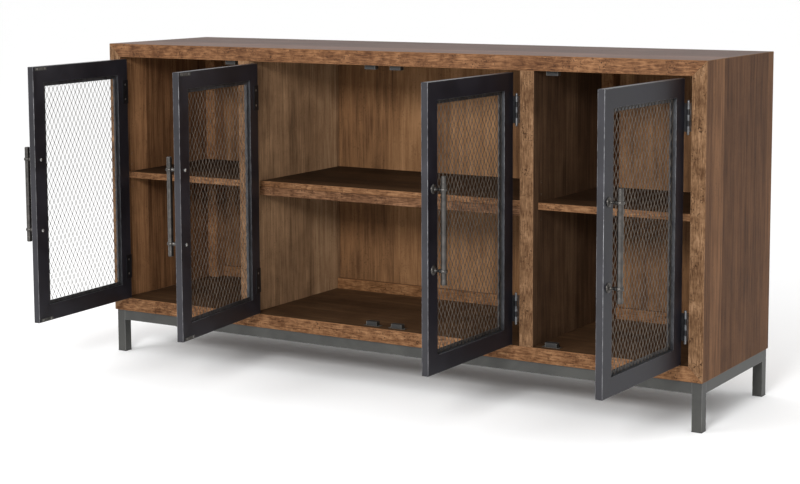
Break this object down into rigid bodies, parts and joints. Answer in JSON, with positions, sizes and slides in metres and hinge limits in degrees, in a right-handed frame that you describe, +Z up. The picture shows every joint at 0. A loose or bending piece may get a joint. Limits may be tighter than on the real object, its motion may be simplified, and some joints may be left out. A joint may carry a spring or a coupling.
{
  "type": "tv stand with mesh doors",
  "caption": "Long low wooden media cabinet on a steel base, with hinged metal mesh doors, bar handles, magnetic catches, a fixed centre shelf and adjustable side shelves.",
  "frame": {"origin": "on the floor, under the centre of the case footprint", "axes": "+Z up, +X to the right of someone facing the doors, and the front faces -Y"},
  "size_m": [1.829, 0.8803, 0.902],
  "materials": {
    "case_wood": "distressed brown veneer, satin lacquer",
    "back_wood": "brown veneered thin panel",
    "light_wood": "warm brown stained wood",
    "base_steel": "dark grey powder coat",
    "door_steel": "blue-black satin paint with rubbed edges",
    "mesh_steel": "grey expanded metal",
    "pewter": "antique pewter",
    "hinge_steel": "dull steel",
    "zinc": "zinc plated",
    "black_ferrite": "dark magnet block",
    "black_plastic": "black nylon foot"
  },
  "bodies": {
    "case": {"top_panel": "case_wood", "bottom_panel": "case_wood", "left_side_panel": "case_wood", "right_side_panel": "case_wood", "left_partition": "case_wood", "right_partition": "case_wood", "back_panels": "back_wood", "back_rails": "light_wood", "back_posts": "light_wood", "centre_shelf": "case_wood", "centre_shelf_rail": "light_wood", "left_shelf": "case_wood", "right_shelf": "case_wood", "shelf_supports": "zinc", "peg_sleeves": "zinc", "base_legs": "base_steel", "base_rails": "base_steel", "foot_glides": "black_plastic", "base_screws": "zinc", "catch_magnets": "black_ferrite", "catch_brackets": "zinc", "case_hinge_leaves": "hinge_steel", "hinge_pins": "hinge_steel", "case_screws": "zinc"},
    "left_door": {"left_door_frame": "door_steel", "left_door_mesh": "mesh_steel", "left_door_strips": "door_steel", "left_door_handle_bar": "pewter", "left_door_handle_posts": "pewter", "left_door_handle_bolts": "zinc", "left_door_hinge_leaves": "hinge_steel", "left_door_strikes": "zinc", "left_door_screws": "zinc"},
    "centre_left_door": {"centre_left_door_frame": "door_steel", "centre_left_door_mesh": "mesh_steel", "centre_left_door_strips": "door_steel", "centre_left_door_handle_bar": "pewter", "centre_left_door_handle_posts": "pewter", "centre_left_door_handle_bolts": "zinc", "centre_left_door_hinge_leaves": "hinge_steel", "centre_left_door_strikes": "zinc", "centre_left_door_screws": "zinc"},
    "centre_right_door": {"centre_right_door_frame": "door_steel", "centre_right_door_mesh": "mesh_steel", "centre_right_door_strips": "door_steel", "centre_right_door_handle_bar": "pewter", "centre_right_door_handle_posts": "pewter", "centre_right_door_handle_bolts": "zinc", "centre_right_door_hinge_leaves": "hinge_steel", "centre_right_door_strikes": "zinc", "centre_right_door_screws": "zinc"},
    "right_door": {"right_door_frame": "door_steel", "right_door_mesh": "mesh_steel", "right_door_strips": "door_steel", "right_door_handle_bar": "pewter", "right_door_handle_posts": "pewter", "right_door_handle_bolts": "zinc", "right_door_hinge_leaves": "hinge_steel", "right_door_strikes": "zinc", "right_door_screws": "zinc"}
  },
  "joints": [
    {"name": "left_door_hinge", "type": "hinge", "parent": "case", "child": "left_door", "pos_m": [-0.8725, -0.239, 0.513], "axis": [0, 0, -1], "range_deg": [-86.8, 93.2]},
    {"name": "centre_left_door_hinge", "type": "hinge", "parent": "case", "child": "centre_left_door", "pos_m": [-0.414, -0.239, 0.513], "axis": [0, 0, -1], "range_deg": [-82.8, 52.2]},
    {"name": "centre_right_door_hinge", "type": "hinge", "parent": "case", "child": "centre_right_door", "pos_m": [0.414, -0.239, 0.513], "axis": [0, 0, 1], "range_deg": [-89.3, 45.7]},
    {"name": "right_door_hinge", "type": "hinge", "parent": "case", "child": "right_door", "pos_m": [0.8725, -0.239, 0.513], "axis": [0, 0, 1], "range_deg": [-87.8, 92.2]}
  ]
}
